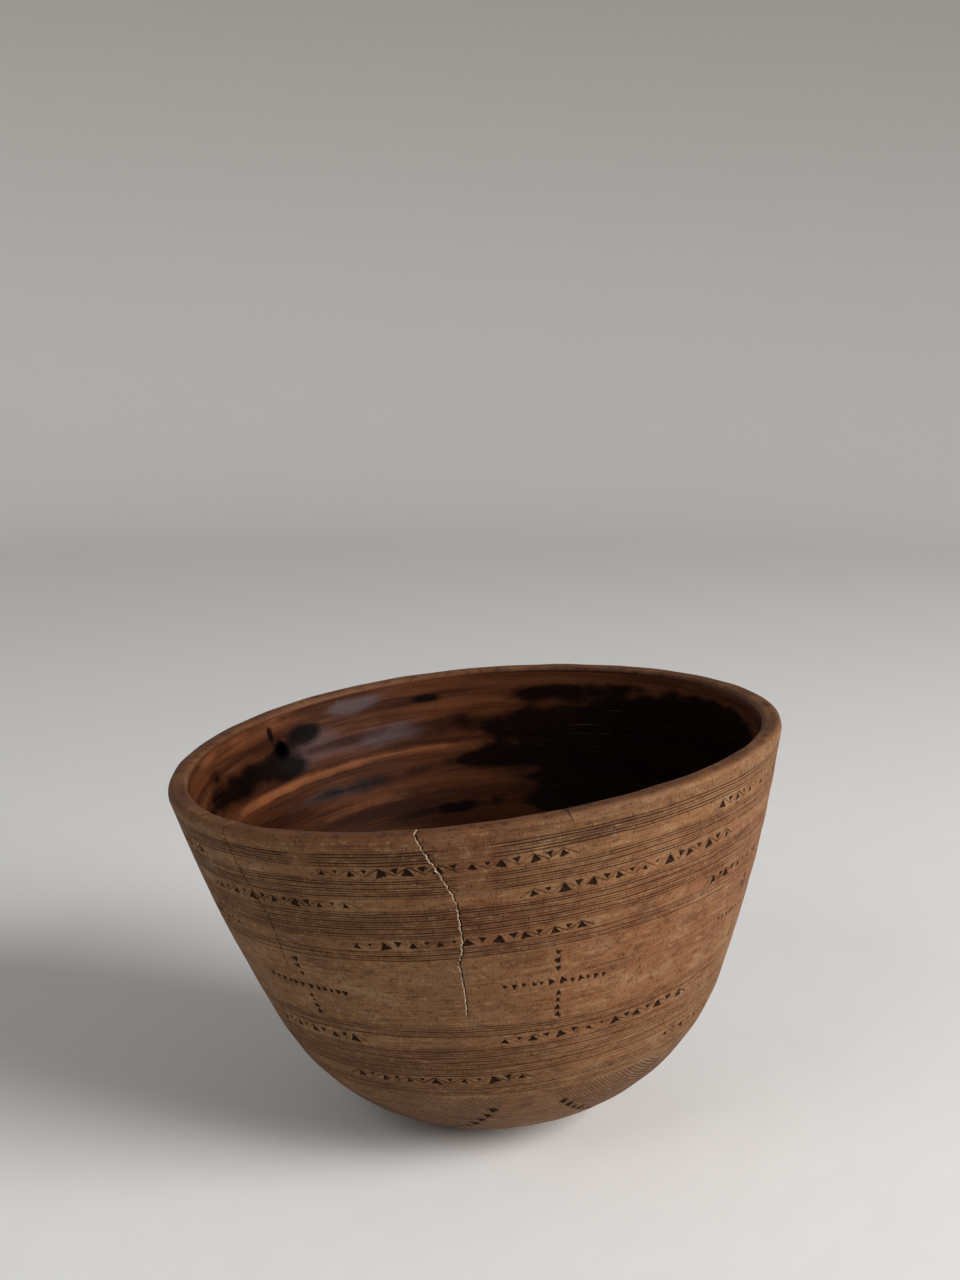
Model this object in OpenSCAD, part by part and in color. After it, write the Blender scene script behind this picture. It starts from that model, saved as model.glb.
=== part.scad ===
// Round-bottomed wooden bowl, hollowed from one block and ringed with carved grooves.
// It stands on a small worn flat under its dome, so it leans and its rim is not level.
// The origin is the centre of that flat, with +Z straight up from the ground.

/* [Bowl] */
// Outer diameter across the rim
rim_d = 302; // [240:1:400]
// Height of the bowl along its own axis
bowl_h = 190; // [180:1:240]
// Thickness of the carved wall
wall_t = 9.5; // [6:0.5:12]

/* [Belly] */
// Radius of the rounded underside
dome_r = 136; // [120:1:150]
// Slope where the underside turns into the flank
dome_slope = 24; // [20:1:30]
// Radius of the flank
flank_r = 107; // [95:1:112]
// Slope where the flank turns into the wall
flank_slope = 67; // [62:1:70]

/* [Stance] */
// Tilt of the bowl's axis from upright
lean_angle = 6.1; // [0:0.1:8]
// Compass direction that the rim leans towards, from +X
lean_dir = 195; // [0:1:359]
// Radius of the worn flat that the bowl rests on
rest_r = 20; // [15:1:24]

/* [Rim] */
// Rounding of the rim's outer edge
lip_outer_r = 3; // [1:0.5:3]
// Rounding of the rim's inner edge
lip_inner_r = 2.5; // [1:0.5:2.5]

/* [Carving] */
// Depth of each carved groove
groove_depth = 0.6; // [0.3:0.1:1]
// Width of each carved groove
groove_w = 1; // [0.6:0.1:1.2]

/* [Crack] */
// Compass direction of the long glued crack, round the bowl from +X
crack_dir = 265; // [180:1:330]
// Width of the hardened filler in the crack
crack_w = 1.4; // [0.8:0.1:2]

/* [Hanging hole] */
// Diameter of the hole drilled under the rim
hole_d = 6.4; // [4:0.2:8]
// Height of the hole along the bowl's axis
hole_h = 168; // [140:1:173]
// Compass direction of the hole, round the bowl from +X
hole_dir = 141.5; // [100:0.5:180]

/* [Hidden] */
$fn = 180;

// Groups of grooves from the foot to the rim: lowest height, highest height, number of grooves
GROOVES = [
    [48, 56, 5],
    [62, 79, 10],
    [85, 91.5, 4],
    [129, 134.5, 4],
    [141, 154, 8],
    [160.5, 169.5, 6],
    [176, 181.5, 4]
];
// Heights of the plain belt between the groups
BELT = [98, 106, 114, 122];
// The crack's course: distance across the wall, then height along the bowl's axis
CRACK = [[-1.5, 97], [-1, 110], [-0.5, 127], [2, 138], [2, 155], [0, 163], [-4, 172], [-8, 180], [-12, 194]];

cut_slack = 20;                 // how far cutters run past the wood
rim_r = rim_d / 2;
dome_arc_r = dome_r * sin(dome_slope);
dome_arc_h = dome_r * (1 - cos(dome_slope));
flank_arc_r = dome_arc_r + flank_r * (sin(flank_slope) - sin(dome_slope));
flank_arc_h = dome_arc_h + flank_r * (cos(dome_slope) - cos(flank_slope));
// The wall is one long arc, tangent to the flank, that ends at the rim
wall_chord = norm([rim_r - flank_arc_r, bowl_h - flank_arc_h]);
wall_turn = 2 * (atan2(bowl_h - flank_arc_h, rim_r - flank_arc_r) - flank_slope);
wall_r = wall_chord / (2 * sin(wall_turn / 2));
rim_slope = flank_slope + wall_turn;

// Slope of the outside at height h
function slope_at(h) =
    h < dome_arc_h ? acos(1 - h / dome_r) :
    h < flank_arc_h ? acos(cos(dome_slope) - (h - dome_arc_h) / flank_r) :
    acos(cos(flank_slope) - (h - flank_arc_h) / wall_r);

// Point of the outside where its slope is a, set in from the surface by a distance
function shell_point(a, inset = 0) =
    a < dome_slope ? [(dome_r - inset) * sin(a), dome_r - (dome_r - inset) * cos(a)] :
    a < flank_slope ? [
        dome_arc_r + flank_r * (sin(a) - sin(dome_slope)) - inset * sin(a),
        dome_arc_h + flank_r * (cos(dome_slope) - cos(a)) + inset * cos(a)
    ] : [
        flank_arc_r + wall_r * (sin(a) - sin(flank_slope)) - inset * sin(a),
        flank_arc_h + wall_r * (cos(flank_slope) - cos(a)) + inset * cos(a)
    ];

// The same point found by its height
function outside(h, inset = 0) = shell_point(slope_at(h), inset);

// Lower edge, bottom and upper edge of one V groove at height h
function groove(h) = [
    outside(h - groove_w / 2),
    outside(h, groove_depth),
    outside(h + groove_w / 2)
];

// Arc of a rounded rim edge, between two angles in the section
function lip_arc(centre, r, from, to) =
    [for (k = [0:4]) centre + r * [cos(from + (to - from) * k / 4), sin(from + (to - from) * k / 4)]];

// Every groove's height, and the section's points above and below the plain belt
groove_heights = [for (g = GROOVES) for (k = [0:g[2] - 1]) g[0] + (g[1] - g[0]) * k / (g[2] - 1)];
foot_h = GROOVES[0][0] - 2;
foot_slope = slope_at(foot_h);
lower_grooves = [for (h = groove_heights) if (h < BELT[0]) each groove(h)];
upper_grooves = [for (h = groove_heights) if (h > BELT[0]) each groove(h)];

// Bowl upright: half of its section, turned round the axis
module shell() {
    outer_lip = outside(bowl_h - lip_outer_r);
    inner_slope = slope_at(bowl_h - lip_inner_r - wall_t * cos(rim_slope));
    inner_lip = shell_point(inner_slope, wall_t);
    rotate_extrude()
        polygon(concat(
            [for (k = [0:12]) shell_point(foot_slope * k / 12)],
            lower_grooves,
            [for (h = BELT) outside(h)],
            upper_grooves,
            lip_arc([outer_lip[0] - lip_outer_r, outer_lip[1]], lip_outer_r, 0, 90),
            lip_arc([inner_lip[0] + lip_inner_r, bowl_h - lip_inner_r], lip_inner_r, 90, 180),
            [for (k = [7:-1:1]) shell_point(flank_slope + (inner_slope - flank_slope) * k / 8, wall_t)],
            [for (k = [14:-1:0]) shell_point(flank_slope * k / 14, wall_t)]
        ));
}

// Outline of the crack, closed at its lower tip
module crack_outline() {
    polygon(concat(
        [for (p = CRACK) [p[0] - (p[1] > CRACK[0][1] ? crack_w / 2 : 0), p[1]]],
        [for (k = [len(CRACK) - 1:-1:1]) [CRACK[k][0] + crack_w / 2, CRACK[k][1]]]
    ));
}

// The crack's outline carried straight through the wall
module crack_cut() {
    rotate([0, 0, crack_dir])
        translate([rim_r / 2, 0, 0])
            rotate([90, 0, 90])
                linear_extrude(rim_r / 2 + cut_slack)
                    crack_outline();
}

// Hole square to the wall at its height
module hanging_hole() {
    middle = outside(hole_h, wall_t / 2);
    rotate([0, 0, hole_dir])
        translate([middle[0], 0, middle[1]])
            rotate([0, 180 - slope_at(hole_h), 0])
                cylinder(d = hole_d, h = wall_t + cut_slack, center = true);
}

// Tips the upright bowl over its dome, so that the worn flat lies on the ground
module lean() {
    translate([0, 0, sqrt(dome_r * dome_r - rest_r * rest_r)])
        rotate(a = lean_angle, v = [-sin(lean_dir), cos(lean_dir), 0])
            translate([0, 0, -dome_r])
                children();
}

// Everything below the ground, which wear has taken away
module ground() {
    translate([0, 0, -cut_slack])
        cylinder(r = rim_r, h = cut_slack);
}

module bowl() {
    color([0.42, 0.27, 0.17])
        difference() {
            lean() difference() {
                shell();
                crack_cut();
                hanging_hole();
            }
            ground();
        }
}

module crack_filler() {
    color([0.72, 0.60, 0.45])
        lean() intersection() {
            shell();
            crack_cut();
        }
}

bowl();
crack_filler();
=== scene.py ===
import math
import bpy
import numpy as np
from mathutils import Matrix, Vector


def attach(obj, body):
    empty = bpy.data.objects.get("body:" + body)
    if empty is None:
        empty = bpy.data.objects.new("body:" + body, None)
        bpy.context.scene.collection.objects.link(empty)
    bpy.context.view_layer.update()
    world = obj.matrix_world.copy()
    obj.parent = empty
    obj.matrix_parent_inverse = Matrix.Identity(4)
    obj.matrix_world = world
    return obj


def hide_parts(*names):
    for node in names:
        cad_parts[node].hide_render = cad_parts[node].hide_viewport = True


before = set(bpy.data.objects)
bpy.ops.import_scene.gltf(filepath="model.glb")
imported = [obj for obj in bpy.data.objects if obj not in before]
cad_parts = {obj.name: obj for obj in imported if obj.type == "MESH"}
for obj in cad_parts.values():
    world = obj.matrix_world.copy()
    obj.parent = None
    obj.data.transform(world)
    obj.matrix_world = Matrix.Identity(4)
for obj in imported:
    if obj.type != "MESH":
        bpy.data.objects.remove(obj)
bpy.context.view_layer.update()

# ---------------------------------------------------------------------------------------------
# The camera: a portrait frame on a short telephoto lens, about a metre in front of the bowl and
# a little above its rim, tilted down.

camera_data = bpy.data.cameras.new("camera")
camera_data.sensor_width = 36.0
camera_data.lens = 54.17
camera_data.clip_start = 0.01
camera = bpy.data.objects.new("camera", camera_data)
camera.location = (-0.00275, -0.91196, 0.4025)
camera.rotation_euler = (math.radians(90 - 10.35), 0.0, 0.0)
bpy.context.collection.objects.link(camera)
bpy.context.scene.camera = camera

# ---------------------------------------------------------------------------------------------
# The bowl: one block of hardwood, turned over and hollowed with an adze to an even wall, then
# scored and chip-carved with a knife. It stands on a small flat that wear has made off its
# axis, so it leans. Its mesh is made as three courses, which meet at the bottoms of grooves.

# Sizes in millimetres along the bowl's own axis. The outside is three arcs, one after another:
# a rounded underside, a tighter flank and a long flaring wall.
RIM_R = 149.8
HEIGHT = 190.0
WALL = 9.5
DOME_R, DOME_SLOPE = 136.0, math.radians(24)
FLANK_R, FLANK_SLOPE = 107.0, math.radians(67)
LEAN, LEAN_DIR = math.radians(6.1), math.radians(195)
REST_R = 20.0                        # radius of the worn flat
OVAL, OVAL_DIR = 0.014, 62.0         # the rim has shrunk out of round, widest this way
WARP, WARP_DIR = 1.8, 116.0          # and it rises and dips by this much
LIP_OUT_R, LIP_IN_R = 3.0, 2.5       # rounding of the lip's outer and inner edges

DOME_END = np.array([DOME_R * math.sin(DOME_SLOPE), DOME_R * (1 - math.cos(DOME_SLOPE))])
FLANK_END = DOME_END + FLANK_R * np.array([
    math.sin(FLANK_SLOPE) - math.sin(DOME_SLOPE),
    math.cos(DOME_SLOPE) - math.cos(FLANK_SLOPE)])
RISE = np.array([RIM_R, HEIGHT]) - FLANK_END
WALL_TURN = 2 * (math.atan2(RISE[1], RISE[0]) - FLANK_SLOPE)
WALL_R = math.hypot(*RISE) / (2 * math.sin(WALL_TURN / 2))


def slope_at(h):
    """Slope of the outside at height h: each arc climbs by its radius times a difference of cosines."""
    dome = np.arccos(np.clip(1 - h / DOME_R, -1, 1))
    flank = np.arccos(np.clip(math.cos(DOME_SLOPE) - (h - DOME_END[1]) / FLANK_R, -1, 1))
    wall = np.arccos(np.clip(math.cos(FLANK_SLOPE) - (h - FLANK_END[1]) / WALL_R, -1, 1))
    return np.where(h < DOME_END[1], dome, np.where(h < FLANK_END[1], flank, wall))


def section(h, inset):
    """Radius and height of the point that lies inset below the outside, square to it at height h."""
    a = slope_at(h)
    s = np.sin(a)
    r = np.where(h < DOME_END[1], DOME_R * s, np.where(
        h < FLANK_END[1], DOME_END[0] + FLANK_R * (s - math.sin(DOME_SLOPE)),
        FLANK_END[0] + WALL_R * (s - math.sin(FLANK_SLOPE))))
    return r - inset * s, h + inset * np.cos(a)


# The walk round the section: up the outside, over the lip's outer rounding, its top and its
# inner rounding, and down the inside. LIP holds where each stretch of it starts.
TOP_SLOPE = float(slope_at(np.array(HEIGHT)))
LIP_TURN = TOP_SLOPE - math.pi / 2
OUT_TOP = HEIGHT - LIP_OUT_R - LIP_OUT_R * math.cos(TOP_SLOPE)
IN_TOP = HEIGHT - LIP_IN_R - (WALL - LIP_IN_R) * math.cos(TOP_SLOPE)
OUT_CENTRE = np.array(section(np.array(OUT_TOP), LIP_OUT_R))
IN_CENTRE = np.array(section(np.array(IN_TOP), WALL - LIP_IN_R))
OUT_ARC = LIP_OUT_R * (math.pi / 2 - LIP_TURN)
IN_ARC = LIP_IN_R * (math.pi / 2 + LIP_TURN)
LIP = np.cumsum([OUT_TOP, OUT_ARC, OUT_CENTRE[0] - IN_CENTRE[0], IN_ARC])
WALK_END = LIP[3] + IN_TOP


def skin(walk):
    """Radius, height and outward direction of the section's points: the walk is the height on
    the outside, a length over the lip, and a falling height on the inside."""
    walk = np.asarray(walk, float)
    inside = walk > LIP[3]
    h = np.where(inside, np.clip(WALK_END - walk, 0, IN_TOP), np.clip(walk, 0, OUT_TOP))
    r, z = section(h, np.where(inside, WALL, 0.0))
    a = slope_at(h)
    side = np.where(inside, -1.0, 1.0)
    nr, nz = side * np.sin(a), -side * np.cos(a)
    for start, centre, radius, turn in (
            (LIP[0], OUT_CENTRE, LIP_OUT_R, LIP_TURN), (LIP[2], IN_CENTRE, LIP_IN_R, math.pi / 2)):
        t = turn + (walk - start) / radius
        end = LIP[1] if start == LIP[0] else LIP[3]
        here = (walk > start) & (walk <= end)
        nr, nz = np.where(here, np.cos(t), nr), np.where(here, np.sin(t), nz)
        r = np.where(here, centre[0] + radius * np.cos(t), r)
        z = np.where(here, centre[1] + radius * np.sin(t), z)
    flat = (walk > LIP[1]) & (walk <= LIP[2])
    r = np.where(flat, OUT_CENTRE[0] - (walk - LIP[1]), r)
    z, nr, nz = np.where(flat, HEIGHT, z), np.where(flat, 0.0, nr), np.where(flat, 1.0, nz)
    return r, z, nr, nz


def place(azimuth, r, z):
    """Frame positions from a compass angle, a radius and a height on the upright bowl: put out
    of round and warped by cosines of twice the angle, then tipped over onto the worn flat."""
    a = np.radians(azimuth)
    up = np.clip(z / HEIGHT, 0, 1)
    r = r * (1 + OVAL * up * np.cos(2 * (a - math.radians(OVAL_DIR))))
    z = z + WARP * up * np.cos(2 * (a - math.radians(WARP_DIR)))
    points = np.stack([r * np.cos(a), r * np.sin(a), z - DOME_R + 0 * a], -1)
    tip = Matrix.Rotation(LEAN, 3, Vector((-math.sin(LEAN_DIR), math.cos(LEAN_DIR), 0)))
    points = points @ np.array(tip).T
    points[..., 2] = np.maximum(points[..., 2] + math.sqrt(DOME_R ** 2 - REST_R ** 2), 0)
    return points / 1000


def wander(azimuth, h):
    """How far the carving strays from level: a three-lobed wave round the bowl that is strongest
    at the belly, and weak quicker waves whose phase drifts with height."""
    a = np.radians(azimuth)
    lobes = (0.3 + 1.7 * np.exp(-((h - 92) / 12) ** 2)) * np.cos(3 * (a - math.radians(230)))
    small = 0.16 * np.sin(5 * a + h / 9) + 0.10 * np.sin(11 * a + h / 3) + 0.07 * np.sin(23 * a + h / 1.1)
    return (lobes + small) * np.clip((h - 20) / 25, 0, 1) * np.clip((HEIGHT - 4 - h) / 6, 0, 1)


def uneven(azimuth, seed):
    """Slow change along a cut, from 0 to 1: four waves round the bowl, shifted by a seed."""
    a = np.radians(azimuth)
    waves = (np.sin(3 * a + 1.7 * seed) + np.sin(7 * a + 2.9 * seed) + 0.8 * np.sin(16 * a + 4.1 * seed)
             + 0.6 * np.sin(37 * a + 5.3 * seed))
    return np.clip(0.5 + 0.22 * waves, 0, 1)


# Cracks, each by the heights and compass angles it passes, its home angle, half width in
# degrees, depth and foot. The first has been glued. The rest are open: a hairline, a split
# across the rim and a nick.
CRACKS = [
    {"h": [60, 90, 97, 110, 127, 130, 138, 155, 160, 170, 180, 192],
     "at": [264.0, 264.0, 264.2, 264.6, 264.5, 265.2, 265.8, 265.7, 265.3, 263.8, 262.0, 260.3],
     "home": 265.0, "half": 0.29, "depth": 2.4, "foot": 97.0},
    {"h": [100, 116, 132, 147, 158, 170, 180, 192],
     "at": [226.2, 226.3, 226.7, 227.2, 225.8, 224.2, 223.3, 222.8],
     "home": 225.0, "half": 0.25, "depth": 1.3, "foot": 116.0},
    {"h": [170, 192], "at": [355.0, 357.5], "home": 356.0, "half": 0.13, "depth": 1.2, "foot": 176.0},
    {"h": [178, 192], "at": [286.6, 285.4], "home": 286.0, "half": 0.12, "depth": 0.8, "foot": 184.0},
]
GLUED = CRACKS[0]
SEAM_UPPER, SEAM_LOWER = 128.9, 64.0      # where the three courses meet, both at grooves


def crack_at(crack, h):
    """Compass angle of a crack at height h: straight between its points, with a fine jagged wave."""
    jag = (0.07 * np.sin(h * 1.3) + 0.07 * np.sin(h * 2.9 + 1) + 0.05 * np.sin(h * 6.1)) * (0.4 + h / 190)
    return np.interp(h, crack["h"], crack["at"]) + jag * np.clip((HEIGHT - 2 - h) / 4, 0, 1)


def follow_cracks(column, h):
    """Compass angle of a mesh column at height h: columns near a crack bend to run along it."""
    angle = column + 0 * h
    for crack in CRACKS:
        angle = angle + (crack_at(crack, h) - crack["home"]) * np.exp(-((column - crack["home"]) / 8) ** 2)
    return angle


def crack_cuts(column, walk, h):
    """Depth of the cracks: full between a crack's two edge columns, fading out at its foot, and
    shallower on the inside."""
    depth = 0 * (column + h)
    for crack in CRACKS:
        between = np.abs(column - crack["home"]) < crack["half"] * 0.99
        depth = depth + crack["depth"] * between * np.clip((h - crack["foot"]) / 8, 0, 1)
    return np.where(walk > LIP[2], 0.4 * depth, depth)


# Groups of scored grooves from the foot up: first height, last height, number, depth
GROOVES = [
    (51.5, 58.2, 6, 0.32),
    (SEAM_LOWER, 79.6, 13, 0.34),
    (86.6, 92.0, 5, 0.36),
    (SEAM_UPPER, 133.6, 5, 0.38),
    (139.8, 153.6, 12, 0.40),
    (160.2, 169.9, 9, 0.40),
    (176.4, 182.0, 5, 0.52),
]
GROOVE_HALF = 0.42                   # half the width of a groove
# Gaps where the knife was lifted: group, compass angle, half length in degrees
LIFTS = [(6, 239.5, 1.5), (6, 268.0, 4.5), (5, 269.0, 2.0), (6, 105.0, 4.0), (6, 12.0, 3.0), (4, 60.0, 2.5)]

# Bands of zigzag: the middle height, the zigzag's half height, then for each stretch the
# compass angle of its first peak, the step from peak to peak and the number of peaks
ZIGZAGS = [
    (61.2, 1.7, [(233.0, 6.85, 7), (314.8, 6.5, 5), (12.0, 6.7, 6), (84.0, 6.8, 7), (161.0, 6.7, 6)]),
    (83.0, 1.8, [(206.4, 6.1, 6), (271.2, 6.25, 8), (344.0, 6.2, 7), (51.0, 6.2, 8), (132.0, 6.2, 7)]),
    (136.8, 1.6, [(246.2, 5.15, 9), (319.0, 5.0, 8), (28.0, 5.1, 9), (99.0, 5.1, 9), (174.0, 5.0, 9)]),
    (157.0, 1.8, [(214.3, 5.3, 7), (279.0, 5.25, 9), (352.0, 5.2, 8), (62.0, 5.2, 9), (153.0, 5.2, 8)]),
    (173.3, 1.8, [(243.3, 5.12, 9), (318.6, 4.9, 8), (25.0, 5.1, 9), (92.0, 5.1, 8), (171.5, 5.0, 9)]),
]
# Crosses punched on the plain belt: their compass angles, their height, and where their marks
# lie up and across from the middle
CROSSES = [229.7, 282.9, 336.0, 27.0, 78.0, 129.0, 180.0]
CROSS_H = 110.4
CROSS_UP = [14.2, 10.2, 6.4, -5.6, -8.8, -12.2, -15.6]
CROSS_ACROSS = [-10.4, -8.5, -6.7, -4.7, -3.2, -1.3, 1.2, 3.1, 4.8, 6.4, 8.1, 9.8]
# Underside: three straight ribbons frame a triangle, each square to one of these compass
# angles, between two distances from the axis, hatched along and edged with chips
RIBBONS = [96.0, 216.0, 336.0]
RIBBON_IN, RIBBON_OUT, HATCH_STEP = 62.4, 91.5, 1.25
RIBBON_TOP = 49.6


def chip(u, v, width, height, depth):
    """Depth of a chip cut at (u, v) from the middle of its base: a triangle with steep sides,
    whose floor falls from a third of its depth at the base to all of it near the tip."""
    up = np.clip(v / height, 0, 1)
    side = (1 - up) * width / 2 - np.abs(u)
    return np.clip(side / 0.4, 0, 1) * np.clip(v / 0.35, 0, 1) * depth * (0.35 + 0.65 * up)


def turned_chip(azimuth, h, centre, middle, radius, turn, width, height, depth):
    """A chip on the wall with its middle at a compass angle and height, its tip turned from up."""
    u = np.radians(azimuth - centre) * radius
    v = h - middle
    c, s = math.cos(turn), math.sin(turn)
    return chip(u * c + v * s, v * c - u * s + height / 2, width, height, depth)


def zigzag_cuts(azimuth, h, band):
    """Depth of a band's cuts: a fine line that rises and falls evenly with the angle, a chip
    under each peak and a smaller one, point down, over each dip."""
    middle, half, stretches = band
    radius = float(section(np.array(middle), 0.0)[0])
    depth = 0 * azimuth
    random = np.random.default_rng(int(middle))
    for first, step, count in stretches:
        along = (azimuth - first + 180) % 360 - 180
        near = (along > -0.5 * step) & (along < (count - 0.5) * step)
        angles, heights, cuts = azimuth[near], h[near], depth[near]
        phase = along[near] / step
        wave = half * (1 - 4 * np.abs(phase - np.round(phase)))
        steep = math.hypot(1, 4 * half / (math.radians(step) * radius))
        line = np.clip(1.4 - np.abs(heights - middle - wave) / steep / 0.36, 0, 1)
        cuts = np.maximum(cuts, 0.30 * line * (0.5 + 0.5 * uneven(angles, first)))
        for k in range(count):
            size = random.uniform(0.68, 1.20)
            at = first + step * k + random.uniform(-0.35, 0.35)
            angles = (angles - at + 180) % 360 - 180 + at
            peak = turned_chip(angles, heights, at, middle - 0.2 * half, radius,
                               random.uniform(-0.28, 0.28), 5.9 * size, 3.7 * size, 1.0)
            dip = turned_chip(angles, heights, at + step / 2, middle + 0.2 * half, radius,
                              math.pi + random.uniform(-0.3, 0.3), 4.3 * size, 2.8 * size, 0.7)
            cuts = np.maximum(cuts, np.maximum(peak, dip * (k < count - 1)))
        depth[near] = cuts
    return depth


def cross_cuts(azimuth, h):
    """Depth of the crosses on the plain belt: a column and a row of small triangular chips."""
    radius = float(section(np.array(CROSS_H), 0.0)[0])
    depth = 0 * azimuth
    random = np.random.default_rng(110)
    for cross in CROSSES:
        offset = (azimuth - cross + 180) % 360 - 180
        near = np.abs(offset) < 13
        angles, heights, cuts = offset[near], h[near], depth[near]
        for up in CROSS_UP:
            size = random.uniform(0.75, 1.15)
            cuts = np.maximum(cuts, turned_chip(
                angles, heights, random.uniform(-0.2, 0.2), CROSS_H + up, radius,
                (math.pi if up > 0 else 0.0) + random.uniform(-0.25, 0.25), 4.0 * size, 3.1 * size, 0.9))
        for across in CROSS_ACROSS:
            size = random.uniform(0.8, 1.1) * (1.3 if abs(across) < 1.5 else 1.0)
            cuts = np.maximum(cuts, turned_chip(
                angles, heights, across, CROSS_H - 0.14 * across + random.uniform(-0.2, 0.2), radius,
                -math.pi / 2 + random.uniform(-0.3, 0.3), 3.6 * size, 2.8 * size, 0.9))
        depth[near] = cuts
    return depth


def underside_cuts(azimuth, h):
    """Depth of the underside's cuts, laid out in plan: evenly spaced lines along each ribbon and
    a row of chips along its inner edge, pointing outwards."""
    r = section(h, 0.0)[0]
    depth = 0 * azimuth
    random = np.random.default_rng(62)
    for toward in RIBBONS:
        off = r * np.cos(np.radians(azimuth - toward))
        along = r * np.sin(np.radians(azimuth - toward))
        line = (off - RIBBON_IN) / HATCH_STEP
        every_other = np.abs(line / 2 - np.round(line / 2)) * 2 * HATCH_STEP
        inside = (line > -3.5) & (off < RIBBON_OUT + 0.8) & (h < RIBBON_TOP)
        depth = np.maximum(depth, 0.10 * np.clip(1.2 - every_other / 0.6, 0, 1) * inside)
        for k in range(-13, 14):
            size = random.uniform(0.8, 1.15)
            cut = chip(along - 5.4 * k, off - RIBBON_IN + 4.6, 4.6 * size, 4.8 * size, 1.0)
            depth = np.maximum(depth, cut * (h < RIBBON_TOP))
    return depth


def hatch_lines(azimuth, h):
    """Number of the hatch line at each point of the ribbons, counted outwards, and whether it is
    hatched there: the distance from the axis in plan along each ribbon's angle."""
    r = section(h, 0.0)[0]
    off = np.max([r * np.cos(np.radians(azimuth - toward)) for toward in RIBBONS], axis=0)
    edge = np.clip((off - RIBBON_IN) / 1.5 + 3.2, 0, 1) * np.clip((RIBBON_OUT - off) / 1.5 + 0.8, 0, 1)
    return (off - RIBBON_IN) / HATCH_STEP, edge * np.clip((RIBBON_TOP - h) / 1.5, 0, 1)


def groove_cuts(azimuth, h, group):
    """Depth of a group's grooves: full along each groove's bottom, nothing at its edges, and
    changing slowly along it down to nothing where the knife was lifted."""
    first, last, count, depth = GROOVES[group]
    step = (last - first) / (count - 1)
    number = np.round((h - first) / step)
    across = np.clip(1 - np.abs(h - first - number * step) / GROOVE_HALF, 0, 1)
    own = 0.5 + 0.5 * np.sin(number * 2.4 + group)
    strength = (0.48 + 0.52 * own) * (0.7 + 0.3 * uneven(azimuth, group * 3 + number * 1.37))
    for lifted, at, half in LIFTS:
        if lifted == group:
            gap = np.abs((azimuth - at + 180) % 360 - 180)
            strength = strength * np.clip((gap - half * (0.8 + 0.2 * np.sin(number * 2.4))) / 1.5, 0.12, 1)
    return across * depth * strength


# The rings of the mesh. A groove takes three, at its edges and its bottom, and a band of chips
# takes one every half millimetre, with its columns close together only where it is carved.
COLUMN_STEP, FINE_STEP, ROW_STEP = 1.25, 0.20, 0.48
ACROSS_CRACK = np.array([-3.4, -1.9, -1.25, -1.0, -0.6, 0.0, 0.6, 1.0, 1.25, 1.9, 3.4])


def columns(arcs, step, with_cracks):
    """Sorted compass angles of a ring's points: even all round, closer in the given arcs."""
    sets = [np.arange(0, 360, COLUMN_STEP)]
    sets += [np.arange(a, b, step) % 360 for a, b in arcs]
    if with_cracks:
        sets += [crack["home"] + crack["half"] * ACROSS_CRACK for crack in CRACKS]
    return np.unique(np.round(np.concatenate(sets), 3))


def groove_rings(group, with_cracks):
    """Three rings for each groove of a group."""
    first, last, count, _ = GROOVES[group]
    heights = (np.linspace(first, last, count)[:, None] + GROOVE_HALF * np.array([-1, 0, 1])).ravel()
    ring_columns = columns([], 1, with_cracks)
    return [(h, ring_columns) for h in heights]


def band_rings(band, with_cracks):
    """Close rings over a zigzag band, with close columns along its stretches."""
    middle, half, stretches = band
    reach = half + 0.9
    arcs = [(first - 0.62 * step, first + (count - 0.38) * step) for first, step, count in stretches]
    ring_columns = columns(arcs, FINE_STEP, with_cracks)
    return [(h, ring_columns) for h in np.arange(middle - reach, middle + reach, ROW_STEP)]


def even_rings(start, end, step, with_cracks):
    """Evenly spaced rings between two places on the walk, ends included."""
    count = max(2, int(round(abs(end - start) / step)) + 1)
    ring_columns = columns([], 1, with_cracks)
    return [(w, ring_columns) for w in np.linspace(start, end, count)]


def belt_rings():
    """Rings over the plain belt: close columns at each cross's upright, and along its arms too."""
    uprights = [(cross - 1.8, cross + 1.8) for cross in CROSSES]
    arms = [(cross - 11.8, cross + 11.8) for cross in CROSSES]
    rings = []
    for h in np.arange(CROSS_H - 17.6, CROSS_H + 16.6, 0.55):
        near_arms = abs(h - CROSS_H) < 3.2
        rings.append((h, columns(arms if near_arms else uprights, 0.2, True)))
    return rings


def zip_rings(low_angles, low_start, high_angles, high_start):
    """Triangles between two closed rings of points sorted by angle: both are walked together, and
    each step along either makes one triangle with the last point reached on the other."""
    angles = np.concatenate([low_angles, high_angles])
    order = np.argsort(angles, kind="stable")
    is_low = order < len(low_angles)
    low_at = np.cumsum(is_low) - 1
    high_at = np.cumsum(~is_low) - 1
    low, high = low_at % len(low_angles), high_at % len(high_angles)
    low_before = (low_at - 1) % len(low_angles)
    high_before = (high_at - 1) % len(high_angles)
    along_low = np.stack([low_start + low_before, low_start + low, high_start + high], -1)
    along_high = np.stack([low_start + low, high_start + high, high_start + high_before], -1)
    return np.where(is_low[:, None], along_low, along_high)


# Cuts are darkened by grime and painted shade below the first depth, and fully this much deeper, most on
# the dirtiest side
CLEAN_DEPTH, DIRT_DEPTH, DIRTIEST = 0.04, 0.26, 235


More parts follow.
